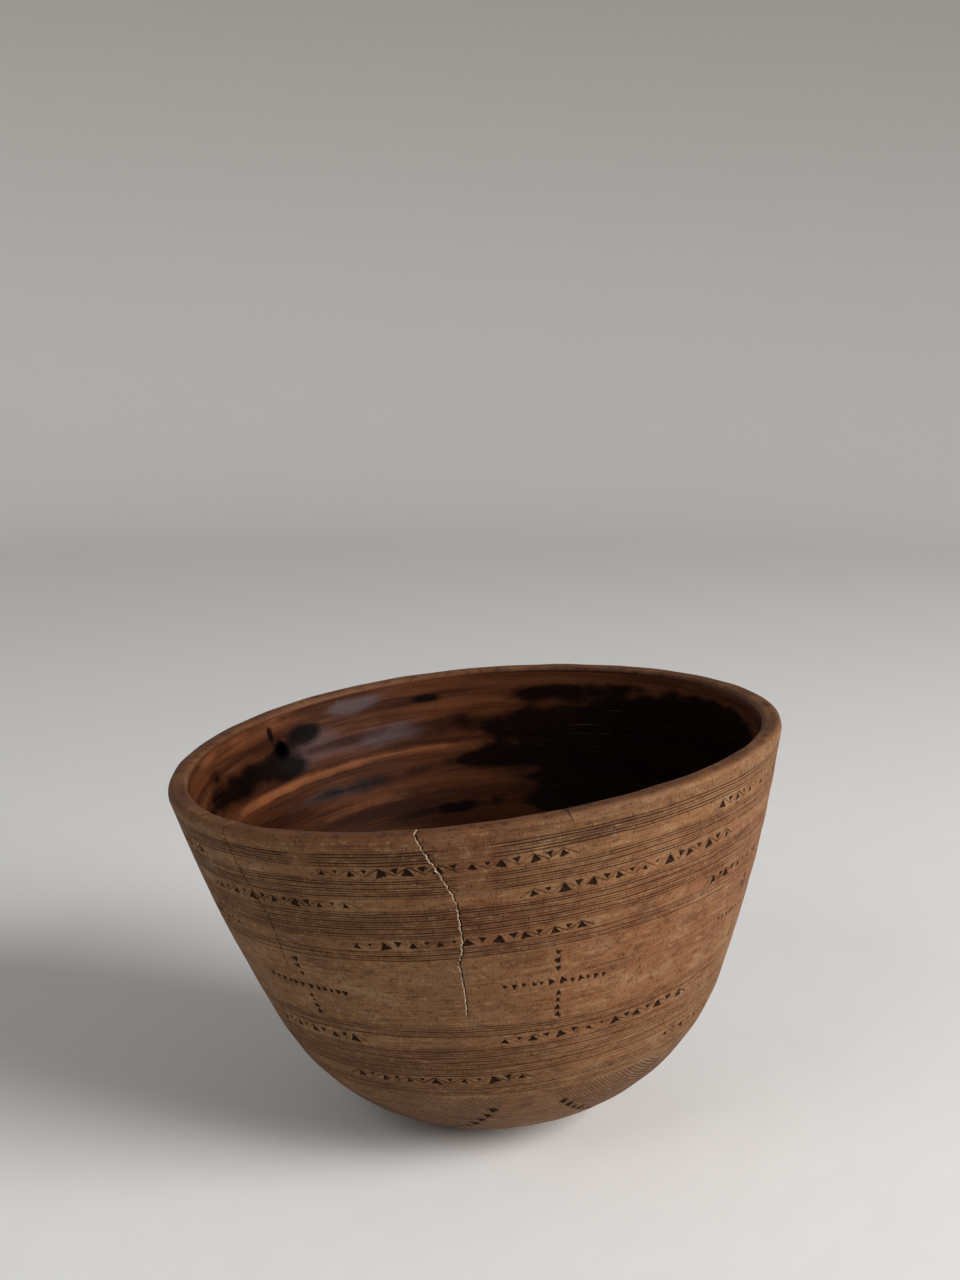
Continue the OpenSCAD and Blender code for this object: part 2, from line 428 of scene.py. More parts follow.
def carved_depth(columns_at, walk):
    """Depth of every cut at a ring's points, and how dark it is painted there from 0 to 1: grime and
    painted shade in the cuts, and painted shadow in the cracks' gaps.
    """
    h = np.where(walk > LIP[3], np.clip(WALK_END - walk, 0, HEIGHT), np.minimum(walk, HEIGHT))
    azimuth = follow_cracks(columns_at, h)
    depth = 0 * azimuth
    if walk < OUT_TOP:
        heights = h + 0 * azimuth
        for group, (first, last, _, _) in enumerate(GROOVES):
            if first - 0.5 < walk < last + 0.5:
                depth = np.maximum(depth, groove_cuts(azimuth, heights, group))
        for band in ZIGZAGS:
            if abs(walk - band[0]) < band[1] + 1.2:
                depth = np.maximum(depth, zigzag_cuts(azimuth, heights, band))
        if abs(walk - CROSS_H) < 19:
            depth = np.maximum(depth, cross_cuts(azimuth, heights))
        if walk < 52:
            depth = np.maximum(depth, underside_cuts(azimuth, heights))
    cracks = crack_cuts(columns_at, walk, h)
    kept_dirt = 0.82 + 0.18 * np.cos(np.radians(azimuth - DIRTIEST))
    dirt_and_shade = np.clip((depth - CLEAN_DEPTH) / DIRT_DEPTH * kept_dirt, 0, 1)
    # a crack's gap is painted dark, as its shadow
    return azimuth, h + 0 * azimuth, np.maximum(depth, cracks), np.maximum(dirt_and_shade, np.clip(cracks, 0, 1))


def knife_facets(azimuth, walk):
    """Shallow unevenness that the adze and knife left: crossed waves a few centimetres long."""
    a = np.radians(azimuth)
    w = walk / 10
    return 0.10 * np.sin(19 * a + 1.3 * np.sin(w)) * np.sin(w * 1.9 + 2 * a) + 0.07 * np.sin(
        31 * a - w * 1.1) + 0.05 * np.sin(w * 3.1 + 5 * np.sin(3 * a))


# Stains and painted light, each by compass angle, height, half width in degrees, half height and strength.
# Soot and oil have blackened the inside, and where it faces away from the light its dark patches are
# painted shade too.
# Worn patches show the orange wood, and the bluish patches on one side are a painted sheen, the window's
# reflection.
STAINS_AND_PAINTED_LIGHT = {
    "dark": [
        # the first three: soot, and painted shade where the inside faces away from the light
        (30, 150, 38, 27, 1.5), (50, 120, 32, 22, 1.0), (66, 156, 24, 12, 0.7), (143, 161, 11, 11, 0.95),
        (162, 162, 12, 9, 0.75), (84, 141, 14, 4, 0.8),
        (103, 176, 5, 3, 1.1), (134, 173, 6, 5, 0.9), (143.5, 178, 0.9, 5, 0.9), (168, 174, 5, 4, 0.6),
        (105, 116, 22, 5, 0.7), (122, 138, 30, 5.5, 0.6), (100, 160, 14, 8, 0.5), (180, 162, 16, 8, 0.5),
        # these two also: soot, and painted shade where the inside faces away from the light
        (75, 175, 16, 4, 0.6), (25, 172, 14, 5, 0.8),
    ],
    "orange": [
        (145, 149, 26, 3.0, 0.9), (105, 149.5, 22, 2.5, 0.6), (122, 126.5, 24, 3.4, 0.7),
        (120, 169, 12, 3.5, 0.5), (155, 184, 50, 4, 0.5), (140, 172, 2.6, 4.4, 0.6), (165, 120, 18, 7, 0.4),
        (185, 140, 14, 8, 0.3),
    ],
    # painted sheen: a bluish haze standing for the window's reflection on the oiled inside
    "painted_sheen": [
        (120, 180, 8, 4.5, 1.0), (114, 160, 18, 8, 0.8), (128, 138, 26, 5, 0.6), (140, 162, 10, 9, 0.7),
        (130, 171, 9, 5, 0.4),
    ],
    "red": [
        (300, 120, 42, 80, 0.9), (270, 148, 5, 9, 1.2), (270, 178, 5, 9, 1.1), (340, 140, 30, 60, 0.55),
        (250, 187, 22, 4, 0.9), (60, 120, 45, 70, 0.5),
    ],
    "grime": [
        (270, 120, 14, 60, 0.45), (275, 186.5, 30, 4.5, 0.9), (320, 40, 40, 12, 0.45),
        (270, 148, 5, 8, 0.6), (270, 179, 5, 9, 0.6), (291, 178, 4, 3, 1.1), (240, 180, 30, 6, 0.35),
        (250, 148, 12, 6, 0.4), (225, 66, 30, 10, 0.4), (236, 52, 14, 6, 0.5), (232, 187, 16, 3, 0.5),
        (262, 184, 6, 4, 0.5), (110, 150, 24, 14, 0.6), (20, 176, 30, 8, 0.5), (150, 70, 40, 12, 0.5),
        (230, 30, 180, 12, 0.5),
    ],
}


def worked_wood(azimuth, h):
    """How grimy the wood is where it is grooved: bands at the groups of grooves, strongest on
    one side of the bowl by the cosine of the angle, and worn clean on the other."""
    total = 0 * azimuth
    for first, last, _, _ in GROOVES:
        total = total + np.clip((h - first) / 1.5 + 0.8, 0, 1) * np.clip((last - h) / 1.5 + 0.8, 0, 1)
    return total * (0.04 + 0.42 * (0.5 + 0.5 * np.cos(np.radians(azimuth - 256))) ** 4)


def stain_and_painted_light_fields(azimuth, h):
    """Strength of each kind of mark, the stains and the painted sheen and shade among them: a sum of bell
    shapes in angle and height.
    """
    fields = []
    for kind in STAINS_AND_PAINTED_LIGHT:
        total = 0 * azimuth
        for at, height, wide, tall, strength in STAINS_AND_PAINTED_LIGHT[kind]:
            offset = (azimuth - at + 180) % 360 - 180
            total = total + strength * np.exp(-(offset / wide) ** 2 - ((h - height) / tall) ** 2)
        fields.append(total)
    return fields


# The hole for a hanging cord, bored through the wall from outside
HOLE_AT, HOLE_H, HOLE_R = 141.5, 168.0, 3.2
HOLE_CLEAR = 5.6                     # the mesh is opened this far round it
HOLE_CLIMB = 0.05                    # it climbs this much for each millimetre it goes in


def hole_loops(start):
    """Rings of points through the wall at the hole, with the triangles between them: circles that
    start wide on the outside, close to the bore, and open again on the inside."""
    turn = np.arange(0, 360, 7.5)
    inset = [0.0, 0.12, 0.6, 1.5, 4.7, 8.0, 8.9, 9.38, WALL]
    radius = np.array([1.24, 1.10, 1.02, 1.0, 1.0, 1.0, 1.02, 1.10, 1.24]) * HOLE_R
    points, faces = [], []
    for k, (deep, round_r) in enumerate(zip(inset, radius)):
        h = HOLE_H + round_r * np.sin(np.radians(turn)) + deep * HOLE_CLIMB
        r, z = section(h, deep)
        azimuth = HOLE_AT + np.degrees(round_r * np.cos(np.radians(turn)) / r)
        points.append((azimuth, h, r, z))
        if k:
            faces.append(zip_rings(turn, start + (k - 1) * len(turn), turn, start + k * len(turn)))
    return turn, points, np.concatenate(faces)


def open_hole(columns_of, walks, faces, count):
    """Takes the faces round the hole away, and joins the two openings by the hole's loops."""
    r = float(section(np.array(HOLE_H), 0.0)[0])
    inside = walks > LIP[3]
    u = np.radians(columns_of - HOLE_AT) * np.where(inside, r - WALL, r)
    v = np.where(inside, WALK_END - walks, walks) - HOLE_H
    lip = (walks > OUT_TOP) & ~inside
    near = (np.hypot(u, v) < HOLE_CLEAR) & ~lip
    cut = near[faces].any(1)
    border = np.intersect1d(faces[cut], faces[~cut])
    angle = np.degrees(np.arctan2(v, u)) % 360
    turn, points, tube = hole_loops(count)
    new_faces = [faces[~cut], tube]
    for side, ring_start in ((False, count), (True, count + (len(points) - 1) * len(turn))):
        loop = border[inside[border] == side]
        loop = loop[np.argsort(angle[loop])]
        low, high = (turn, angle[loop]) if side else (angle[loop], turn)
        joined = zip_rings(low, 0, high, len(low))
        ring = ring_start + np.arange(len(turn))
        index = np.concatenate([ring, loop] if side else [loop, ring])
        new_faces.append(index[joined])
    return np.concatenate(new_faces), points


def make_course(name, rings, closed, pole_start, with_hole=False):
    """Mesh of a course from its rings in walking order, closed back to the first ring or by
    a single point at each pole, with its cuts, stains, painted sheen and shade, and side stored for the
    material."""
    parts, faces = [], []
    for walk, ring_columns in rings:
        azimuth, h, depth, dirt_and_shade = carved_depth(ring_columns, walk)
        on_outside = walk < OUT_TOP
        shift = wander(azimuth, h) if on_outside else 0 * azimuth
        r, z, nr, nz = skin(walk + shift)
        facet = knife_facets(azimuth, walk) * np.clip(walk / 10, 0, 1)
        r, z = r - (depth + facet) * nr, z - (depth + facet) * nz
        parts.append((azimuth, h, r, z, dirt_and_shade, walk + 0 * azimuth, ring_columns))
    starts = np.cumsum([0] + [len(p[0]) for p in parts])
    for k in range(len(rings) - 1 + closed):
        after = (k + 1) % len(rings)
        faces.append(zip_rings(rings[k][1], starts[k], rings[after][1], starts[after]))
    azimuth, h, r, z, dirt_and_shade, walks, columns_of = [np.concatenate(c) for c in zip(*parts)]
    if pole_start:
        n_first, n_last = len(rings[0][1]), len(rings[-1][1])
        first, last = np.arange(n_first), starts[-2] + np.arange(n_last)
        total = starts[-1]
        faces.append(np.stack([total + 0 * first, np.roll(first, -1), first], -1))
        faces.append(np.stack([last, np.roll(last, -1), total + 1 + 0 * last], -1))
        extra = np.array([0.0, 0.0])
        azimuth, dirt_and_shade = np.append(azimuth, extra), np.append(dirt_and_shade, extra)
        h, r, z = np.append(h, extra), np.append(r, extra), np.append(z, [0.0, WALL])
        walks, columns_of = np.append(walks, [0.0, WALK_END]), np.append(columns_of, extra)
    faces = np.concatenate(faces)
    if with_hole:
        # the bore is painted dark as shade, most at its middle, and past its outer edge it counts as the
        # inside
        faces, loops = open_hole(columns_of, walks, faces, len(azimuth))
        bore_start, bore_end = loops[0][3].mean(), loops[-1][3].mean()
        for loop_azimuth, loop_h, loop_r, loop_z in loops:
            azimuth, h = np.append(azimuth, loop_azimuth), np.append(h, loop_h)
            r, z = np.append(r, loop_r), np.append(z, loop_z)
            through = (loop_z.mean() - bore_start) / (bore_end - bore_start)
            dirt_and_shade = np.append(dirt_and_shade, 1.0 - 0.8 * abs(through - 0.5) ** 2 + 0 * loop_h)
            walks = np.append(walks, 0 * loop_h + (LIP[3] + 1 if through > 0 else HOLE_H))
    used, faces = np.unique(faces, return_inverse=True)
    faces = faces.reshape(-1, 3)
    points = place(azimuth, r, z)[used]
    upright = np.stack([r * np.cos(np.radians(azimuth)), r * np.sin(np.radians(azimuth)), h], -1)[used]
    mesh = bpy.data.meshes.new(name)
    mesh.from_pydata(points, [], faces.tolist())
    mesh.attributes.new("upright", "FLOAT_VECTOR", "POINT").data.foreach_set(
        "vector", (upright / 1000).astype(np.float32).ravel())
    inner = np.clip((walks[used] - LIP[2]) / 3, 0, 1)
    lip = np.clip(1 - np.abs(walks[used] - (LIP[1] + LIP[2]) / 2) / 7, 0, 1)
    azimuth, h = azimuth[used], h[used]
    fields = {"dirt_and_shade": dirt_and_shade[used], "inner": inner, "lip": lip}
    fields.update(zip(STAINS_AND_PAINTED_LIGHT, stain_and_painted_light_fields(azimuth, h)))
    fields["grime"] = fields["grime"] + worked_wood(azimuth, h)
    fields["hatch"], fields["hatched"] = hatch_lines(azimuth, np.minimum(h, HEIGHT))
    fields["hatched"] = fields["hatched"] * (1 - inner)
    for kind, field in fields.items():
        mesh.attributes.new(kind, "FLOAT", "POINT").data.foreach_set("value", field.astype(np.float32))
    on_inside = (inner > 0.9)[faces].all(1)
    mesh.polygons.foreach_set("material_index", on_inside.astype(np.int32))
    mesh.shade_smooth()
    piece = bpy.data.objects.new(name, mesh)
    bpy.context.collection.objects.link(piece)
    return piece


# The seams on the inside, with a second ring close to each so that both courses meet it at the
# same slope, and the wider step between rings on the plain inside
INSIDE_SEAMS = (WALK_END - SEAM_UPPER, WALK_END - SEAM_LOWER)
SEAM_STEP, INSIDE_STEP = 0.25, 2.0


def rim_rings():
    """Rings of the rim course: up from the upper seam, over the lip and down the inside."""
    rings = groove_rings(3, True)[1:]
    rings += band_rings(ZIGZAGS[2], True)
    rings += groove_rings(4, True)
    rings += band_rings(ZIGZAGS[3], True)
    rings += groove_rings(5, True)
    rings += band_rings(ZIGZAGS[4], True)
    rings += groove_rings(6, True)
    rings += even_rings(183.2, OUT_TOP - 0.8, 1.0, True)
    rings += even_rings(LIP[0], LIP[3], 0.8, True)
    rings += even_rings(LIP[3] + 1, INSIDE_SEAMS[0] - 1, INSIDE_STEP, True)
    rings += even_rings(INSIDE_SEAMS[0] - SEAM_STEP, INSIDE_SEAMS[0], SEAM_STEP, True)
    return rings


def belly_rings():
    """Rings of the belly course: from the lower seam to the upper, and down the inside."""
    rings = groove_rings(1, True)[1:]
    rings += band_rings(ZIGZAGS[1], True)
    rings += groove_rings(2, True)
    rings += [ring for ring in belt_rings() if ring[0] > 92.6]
    rings += even_rings(127.6, SEAM_UPPER - GROOVE_HALF, 0.8, True)
    rings += even_rings(SEAM_UPPER, SEAM_UPPER, 1.0, True)[:1]
    rings += even_rings(INSIDE_SEAMS[0], INSIDE_SEAMS[0] + SEAM_STEP, SEAM_STEP, True)
    rings += even_rings(INSIDE_SEAMS[0] + 1, INSIDE_SEAMS[1] - 1, INSIDE_STEP, True)
    rings += even_rings(INSIDE_SEAMS[1] - SEAM_STEP, INSIDE_SEAMS[1], SEAM_STEP, True)
    return rings


def foot_rings():
    """Rings of the foot course: from the middle of the worn flat out to the lower seam, and
    down the inside to the middle again."""
    rings = even_rings(0.15, 1.7, 0.5, False)
    rings += even_rings(2.5, 12.5, 1.5, False)
    for h in np.arange(13.2, RIBBON_TOP + 0.6, 0.52):
        r = float(section(np.array(h), 0.0)[0])
        half = math.degrees(math.acos(min(1, (RIBBON_IN - 5) / r)))
        rings.append((h, columns([(toward - half, toward + half) for toward in RIBBONS], 0.45, False)))
    rings += groove_rings(0, False)
    rings += band_rings(ZIGZAGS[0], False)
    rings += even_rings(SEAM_LOWER - GROOVE_HALF, SEAM_LOWER, GROOVE_HALF, False)
    rings += even_rings(INSIDE_SEAMS[1], INSIDE_SEAMS[1] + SEAM_STEP, SEAM_STEP, False)
    rings += even_rings(INSIDE_SEAMS[1] + 1, WALK_END - 4, INSIDE_STEP, False)
    rings += even_rings(WALK_END - 3, WALK_END - 0.2, 1.0, False)
    return rings


rim_course = make_course("bowl_rim_course", rim_rings(), True, False, with_hole=True)
belly_course = make_course("bowl_belly_course", belly_rings(), True, False)
foot_course = make_course("bowl_foot_course", foot_rings(), False, True)

# The wood itself: a close brown hardwood with short dark flecks along the grain, worn tawny outside and
# smoothed by handling, and polished dark by oil and soot inside, with painted shade in its cuts, cracks and
# bore and on part of the inside, and a painted sheen inside.

wood = bpy.data.materials.new("carved_wood_worn")
wood.use_nodes = True
wood_nodes, wood_links = wood.node_tree.nodes, wood.node_tree.links
wood_nodes.clear()


def wood_node(kind, **settings):
    """Adds a node to the wood: settings give its properties, and inputs by name or number in
    a dictionary called inputs, where a socket is linked and anything else is a value."""
    node = wood_nodes.new(kind)
    for socket, value in settings.pop("inputs", {}).items():
        if isinstance(value, bpy.types.NodeSocket):
            wood_links.new(value, node.inputs[socket])
        else:
            node.inputs[socket].default_value = value
    for name, value in settings.items():
        setattr(node, name, value)
    return node


def field(name):
    """One of the values stored in the mesh."""
    return wood_node("ShaderNodeAttribute", attribute_name=name).outputs["Fac"]


def noise(scale, stretch, detail=4.0, roughness=0.55):
    """Noise on the upright bowl, with its size along the wall and up it set by stretch."""
    spread = wood_node("ShaderNodeVectorMath", operation="MULTIPLY", inputs={0: upright, 1: stretch})
    texture = wood_node("ShaderNodeTexNoise", inputs={
        "Vector": spread.outputs[0], "Scale": scale, "Detail": detail, "Roughness": roughness})
    return texture.outputs["Fac"]


def ramp(value, low, high, to_low=0.0, to_high=1.0):
    """Value carried smoothly from one range to another."""
    return wood_node("ShaderNodeMapRange", interpolation_type="SMOOTHSTEP", inputs={
        0: value, 1: low, 2: high, 3: to_low, 4: to_high}).outputs[0]


def sum_of(a, b, weight=1.0):
    """a plus b times a weight."""
    return wood_node("ShaderNodeMath", operation="MULTIPLY_ADD", inputs={0: b, 1: weight, 2: a}).outputs[0]


def product(a, b):
    """a times b."""
    return wood_node("ShaderNodeMath", operation="MULTIPLY", inputs={0: a, 1: b}).outputs[0]


def blend(amount, under, over):
    """Colour over laid on colour under by an amount."""
    return wood_node("ShaderNodeMix", data_type="RGBA", inputs={0: amount, 6: under, 7: over}).outputs[2]


def ragged_patch(name, low, high, break_up):
    """A patch with a ragged edge, for stains, the painted sheen and painted shade: its field, broken up by
    noise, cut off between two levels.
    """
    return ramp(sum_of(field(name), break_up, 1.0), low, high)


OLIVE = (0.176, 0.085, 0.033, 1)
TAWNY = (0.214, 0.098, 0.038, 1)
RUSSET = (0.180, 0.062, 0.023, 1)
UMBER = (0.060, 0.020, 0.008, 1)
PALE = (0.340, 0.205, 0.105, 1)
# nearly black: grime in the grain, with painted shade in the cuts and the bore and painted shadow in the
# cracks
GRIME_AND_SHADE = (0.013, 0.005, 0.0025, 1)
OILED = (0.100, 0.033, 0.013, 1)
OILED_DARK = (0.028, 0.008, 0.0035, 1)
EMBER = (0.225, 0.078, 0.030, 1)
# nearly black: soot, and painted shade where the inside faces away from the light and in the bore
SOOT_AND_SHADE = (0.0012, 0.0004, 0.0003, 1)
# painted sheen colour: the blue-grey of the window's reflection
PAINTED_SHEEN_GREY = (0.088, 0.066, 0.070, 1)
LIP_BROWN = (0.175, 0.074, 0.032, 1)
LIP_DARK = (0.105, 0.038, 0.017, 1)

upright = wood_node("ShaderNodeAttribute", attribute_name="upright").outputs["Vector"]
dirt_and_shade, inner, lip = field("dirt_and_shade"), field("inner"), field("lip")
broad = noise(14.0, (1, 1, 1.4))
patches = noise(45.0, (1, 1, 1.6))
mottle = noise(400.0, (0.55, 0.55, 1.1), 5.0, 0.62)
flecks = noise(1300.0, (1, 1, 0.12), 3.0, 0.6)
pores = noise(2600.0, (1, 1, 0.16), 2.0, 0.5)
scratches = noise(1500.0, (0.02, 0.02, 1), 3.0, 0.6)
streaks = noise(120.0, (0.06, 0.06, 1), 4.0, 0.6)
smears = noise(95.0, (0.35, 0.35, 1), 5.0, 0.65)

# Outside
outside = blend(ramp(sum_of(field("red"), broad, 0.9), 0.35, 1.3), OLIVE, TAWNY)
outside = blend(product(ramp(sum_of(field("red"), patches, 1.2), 1.0, 1.7), 0.70), outside, RUSSET)
outside = blend(product(ramp(patches, 0.50, 0.75), 0.40), outside, PALE)
outside = blend(product(ramp(smears, 0.52, 0.72), 0.45), outside, PALE)
outside = blend(product(ramp(smears, 0.50, 0.30), 0.60), outside, UMBER)
grimy = ramp(sum_of(field("grime"), sum_of(smears, mottle), 0.9), 0.80, 2.0)
outside = blend(product(grimy, 0.50), outside, UMBER)
outside = blend(product(ramp(mottle, 0.48, 0.32), 0.60), outside, UMBER)
outside = blend(product(ramp(mottle, 0.54, 0.68), 0.42), outside, PALE)
outside = blend(product(ramp(scratches, 0.56, 0.72), 0.30), outside, PALE)
outside = blend(product(ramp(scratches, 0.46, 0.32), 0.55), outside, UMBER)
outside = blend(product(ramp(flecks, 0.46, 0.30), 0.60), outside, GRIME_AND_SHADE)
outside = blend(product(ramp(pores, 0.42, 0.30), 0.35), outside, GRIME_AND_SHADE)
from_line = wood_node("ShaderNodeMath", operation="PINGPONG", inputs={0: field("hatch"), 1: 0.5}).outputs[0]
hatching = product(ramp(from_line, 0.30, 0.08), field("hatched"))
hatching = product(hatching, ramp(smears, 0.30, 0.62, 0.35, 1.0))
outside = blend(product(hatching, 0.62), outside, GRIME_AND_SHADE)
# grime and painted shade in the cuts, painted shadow in the cracks and painted shade in the bore
outside = blend(ramp(dirt_and_shade, 0.16, 0.80, 0.0, 0.97), outside, GRIME_AND_SHADE)

# Inside
ragged = sum_of(product(sum_of(streaks, -0.5), 0.9), sum_of(patches, -0.5), 0.7)
ragged = sum_of(ragged, sum_of(noise(110.0, (0.5, 0.5, 0.7), 3.0, 0.5), -0.5), 0.55)
inside = blend(ramp(streaks, 0.35, 0.65), OILED_DARK, OILED)
inside = blend(ragged_patch("orange", 0.25, 1.0, ragged), inside, EMBER)
# the painted sheen laid over the inside
inside = blend(product(ragged_patch("painted_sheen", 0.30, 0.85, ragged), 0.75), inside, PAINTED_SHEEN_GREY)
# soot, and painted shade where the inside faces away from the light
inside = blend(product(ragged_patch("dark", 0.34, 0.74, ragged), 0.95), inside, SOOT_AND_SHADE)
inside = blend(product(ramp(flecks, 0.42, 0.28), 0.35), inside, SOOT_AND_SHADE)
inside = blend(product(ramp(scratches, 0.64, 0.80), 0.20), inside, PALE)
# small flecks of painted sheen
inside = blend(product(ramp(mottle, 0.62, 0.74), 0.18), inside, PAINTED_SHEEN_GREY)
# painted shadow in the cracks and painted shade in the bore
inside = blend(ramp(dirt_and_shade, 0.1, 0.8, 0.0, 1.0), inside, SOOT_AND_SHADE)

# The lip is worn between the two
worn_lip = blend(ramp(patches, 0.35, 0.65), LIP_BROWN, LIP_DARK)
worn_lip = blend(product(ramp(mottle, 0.50, 0.36), 0.6), worn_lip, GRIME_AND_SHADE)
# painted shadow in the cracks across the lip
worn_lip = blend(ramp(dirt_and_shade, 0.1, 0.9, 0.0, 0.9), worn_lip, GRIME_AND_SHADE)
colour = blend(inner, outside, inside)
colour = blend(product(ramp(sum_of(lip, mottle, 0.4), 0.35, 0.85), 0.85), colour, worn_lip)

roughness = sum_of(ramp(inner, 0, 1, 0.56, 0.38), mottle, 0.16)
roughness = sum_of(roughness, dirt_and_shade, 0.45)
relief = sum_of(product(flecks, 0.5), pores, 0.3)
relief = sum_of(relief, scratches, 0.35)
relief = sum_of(relief, mottle, 0.4)
relief = sum_of(relief, hatching, -0.8)
bump = wood_node("ShaderNodeBump", inputs={"Strength": 0.7, "Distance": 0.0004, "Height": relief})
surface = wood_node("ShaderNodeBsdfPrincipled", inputs={
    "Base Color": colour, "Roughness": roughness, "Normal": bump.outputs[0], "Specular IOR Level": 0.15})
wood_node("ShaderNodeOutputMaterial", inputs={"Surface": surface.outputs[0]})

# The same wood inside, where soot has dulled it
oiled_wood = wood.copy()
oiled_wood.name = "carved_wood_oiled"
for inner_node in oiled_wood.node_tree.nodes:
    if inner_node.type == "BSDF_PRINCIPLED":
        inner_node.inputs["Specular IOR Level"].default_value = 0.03

for course in (rim_course, belly_course, foot_course):
    course.data.materials.append(wood)
    course.data.materials.append(oiled_wood)
    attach(course, "root")
    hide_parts("bowl")

# ---------------------------------------------------------------------------------------------
# The glue in the long crack: a pale, brittle bead that was pressed in from outside. It follows
# the crack from its foot up over the lip, and sits lumpy and a little below the wood.

FILL_STEPS, FILL_SIDES = 260, 10
FILL_FOOT, FILL_PAST_LIP = 98.5, 2.0     # it starts just above the crack's foot, and runs this far in
FILL_HALF = 0.42                         # half its width, as a share of the crack's half width
fill_walk = np.linspace(FILL_FOOT, LIP[3] + FILL_PAST_LIP, FILL_STEPS)
fill_h = np.minimum(fill_walk, HEIGHT)
fill_turn = np.linspace(0, 2 * math.pi, FILL_SIDES + 1)[:-1]
fill_column = GLUED["home"] - FILL_HALF * GLUED["half"] + GLUED["half"] * FILL_HALF * np.cos(fill_turn)
fill_up = np.sin(fill_turn)
lumps = 0.16 * np.sin(fill_walk * 1.7) + 0.12 * np.sin(fill_walk * 3.9 + 2) + 0.08 * np.sin(fill_walk * 8.3)
surface_at = 0.20 + 0.5 * lumps
fill_top = surface_at[:, None] - 0.15 * fill_up
fill_bottom = 1.0 - 0.9 * fill_up + 0 * fill_walk[:, None]
fill_deep = np.where(fill_up > 0, fill_top, fill_bottom)
fill_shift = wander(follow_cracks(GLUED["home"], fill_h), fill_walk) * (fill_walk < OUT_TOP)
fill_r, fill_z, fill_nr, fill_nz = skin(fill_walk + fill_shift)
fill_azimuth = follow_cracks(fill_column[None, :], fill_h[:, None])
fill_points = place(fill_azimuth, fill_r[:, None] - fill_deep * fill_nr[:, None],
                    fill_z[:, None] - fill_deep * fill_nz[:, None]).reshape(-1, 3)
ring = np.arange(FILL_SIDES)
step = np.arange(FILL_STEPS - 1)[:, None] * FILL_SIDES
fill_faces = np.stack([step + ring, step + FILL_SIDES + ring, step + FILL_SIDES + np.roll(ring, -1),
                       step + np.roll(ring, -1)], -1).reshape(-1, 4)
fill_mesh = bpy.data.meshes.new("crack_glue")
fill_mesh.from_pydata(fill_points, [], fill_faces.tolist() + [
    ring.tolist(), ((FILL_STEPS - 1) * FILL_SIDES + ring[::-1]).tolist()])
fill_mesh.shade_smooth()
glue_bead = bpy.data.objects.new("crack_glue", fill_mesh)
bpy.context.collection.objects.link(glue_bead)

glue = bpy.data.materials.new("dried_glue_aged")
glue.use_nodes = True
glue_nodes, glue_links = glue.node_tree.nodes, glue.node_tree.links
glue_surface = glue_nodes["Principled BSDF"]
glue_place = glue_nodes.new("ShaderNodeTexCoord")
glue_noise = glue_nodes.new("ShaderNodeTexNoise")
glue_noise.inputs["Scale"].default_value = 420.0
glue_noise.inputs["Detail"].default_value = 4.0
glue_links.new(glue_place.outputs["Object"], glue_noise.inputs["Vector"])
glue_ramp = glue_nodes.new("ShaderNodeValToRGB")
glue_ramp.color_ramp.elements[0].position = 0.36
glue_ramp.color_ramp.elements[0].color = (0.16, 0.09, 0.05, 1)
glue_ramp.color_ramp.elements[1].position = 0.52
glue_ramp.color_ramp.elements[1].color = (0.50, 0.36, 0.23, 1)
glue_links.new(glue_noise.outputs["Fac"], glue_ramp.inputs["Fac"])
glue_links.new(glue_ramp.outputs["Color"], glue_surface.inputs["Base Color"])
glue_bump = glue_nodes.new("ShaderNodeBump")
glue_bump.inputs["Strength"].default_value = 0.5
glue_bump.inputs["Distance"].default_value = 0.0003
glue_links.new(glue_noise.outputs["Fac"], glue_bump.inputs["Height"])
glue_links.new(glue_bump.outputs["Normal"], glue_surface.inputs["Normal"])
glue_surface.inputs["Roughness"].default_value = 0.7
glue_bead.data.materials.append(glue)
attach(glue_bead, "root")
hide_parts("crack_filler")

# ---------------------------------------------------------------------------------------------
# The studio: a pale plaster floor that sweeps up far behind the bowl on every side, painted
# darker up the sweep as shade, a large soft light from the right, and a dim even surround.

FLOOR_R, SWEEP_R, SWEEP_TOP = 2.2, 1.2, 1.9
SHADE_PAINTED_TO = 1.25                     # painted shade darkens the plaster evenly up to this height
LIGHT_SPREAD = math.radians(140)     # the lights are baffled to this angle
floor_turn = np.radians(np.arange(0, 360, 5))
floor_walk = np.concatenate([np.linspace(0.05, FLOOR_R, 12), FLOOR_R + SWEEP_R * np.sin(
    np.radians(np.arange(6, 91, 6))), [FLOOR_R + SWEEP_R]])
floor_height = np.concatenate([np.zeros(12), SWEEP_R * (1 - np.cos(np.radians(np.arange(6, 91, 6)))),
                               [SWEEP_TOP]])
floor_points = np.stack([floor_walk[:, None] * np.cos(floor_turn), floor_walk[:, None] * np.sin(floor_turn),
                         floor_height[:, None] + 0 * floor_turn], -1).reshape(-1, 3)
floor_ring = np.arange(len(floor_turn))
floor_step = np.arange(len(floor_walk) - 1)[:, None] * len(floor_turn)
floor_faces = np.stack([floor_step + floor_ring, floor_step + len(floor_turn) + floor_ring,
                        floor_step + len(floor_turn) + np.roll(floor_ring, -1),
                        floor_step + np.roll(floor_ring, -1)], -1).reshape(-1, 4)
floor_mesh = bpy.data.meshes.new("floor")
floor_mesh.from_pydata(floor_points, [], floor_faces.tolist() + [floor_ring.tolist()])
floor_mesh.shade_smooth()
floor = bpy.data.objects.new("floor", floor_mesh)
bpy.context.collection.objects.link(floor)
plaster = bpy.data.materials.new("pale_plaster")
plaster.use_nodes = True
plaster_nodes, plaster_links = plaster.node_tree.nodes, plaster.node_tree.links
plaster_surface = plaster_nodes["Principled BSDF"]
plaster_surface.inputs["Roughness"].default_value = 0.75
plaster_place = plaster_nodes.new("ShaderNodeTexCoord")
plaster_split = plaster_nodes.new("ShaderNodeSeparateXYZ")
